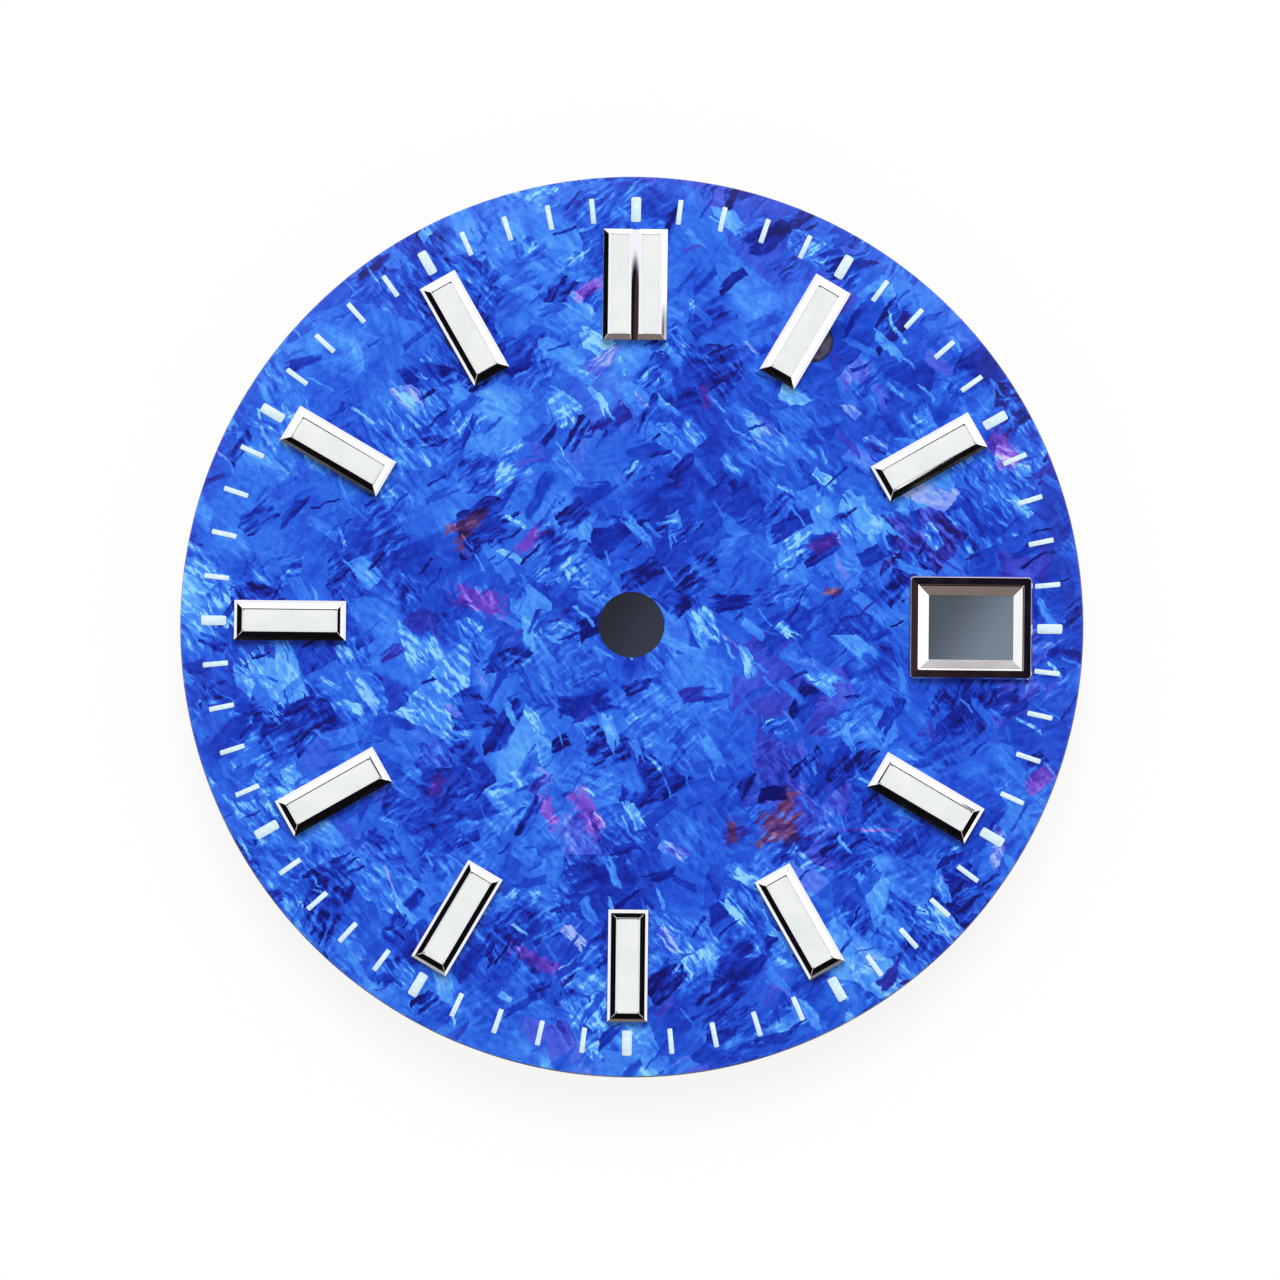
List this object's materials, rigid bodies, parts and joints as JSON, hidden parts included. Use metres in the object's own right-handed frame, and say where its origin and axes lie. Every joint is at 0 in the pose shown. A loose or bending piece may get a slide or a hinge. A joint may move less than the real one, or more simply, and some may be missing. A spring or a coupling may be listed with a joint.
{
  "type": "watch dial",
  "caption": "Round watch dial with a torn blue flake face, applied faceted markers with luminous fill, printed minute track and a framed date window at three.",
  "frame": {"origin": "middle of the dial, on the back of the base plate where it seats on the movement", "axes": "+Z out of the face towards the viewer, +Y to twelve o'clock, +X to three o'clock"},
  "size_m": [0.0285, 0.0284, 0.0029],
  "materials": {
    "brass_blank": "circular brushed",
    "flake_face": "clear lacquer over torn blue flakes",
    "pale_ink": "printed ink",
    "polished_frame": "polished plating",
    "polished_marker": "polished plating",
    "luminous_fill": "matt pigment in binder",
    "foot_metal": "turned",
    "adhesive": "cured drop"
  },
  "bodies": {
    "root": {"base_plate": "brass_blank", "flake_face": "flake_face", "minute_marks": "pale_ink", "hour_marks": "pale_ink", "date_frame": "polished_frame", "adhesive_dots": "adhesive", "marker_01": "polished_marker", "marker_02": "polished_marker", "marker_04": "polished_marker", "marker_05": "polished_marker", "marker_06": "polished_marker", "marker_07": "polished_marker", "marker_08": "polished_marker", "marker_09": "polished_marker", "marker_10": "polished_marker", "marker_11": "polished_marker", "marker_12": "polished_marker", "lume_01": "luminous_fill", "lume_02": "luminous_fill", "lume_04": "luminous_fill", "lume_05": "luminous_fill", "lume_06": "luminous_fill", "lume_07": "luminous_fill", "lume_08": "luminous_fill", "lume_09": "luminous_fill", "lume_10": "luminous_fill", "lume_11": "luminous_fill", "lume_12": "luminous_fill", "dial_foot_01": "foot_metal", "dial_foot_05": "foot_metal", "dial_foot_07": "foot_metal", "dial_foot_11": "foot_metal"}
  },
  "joints": []
}
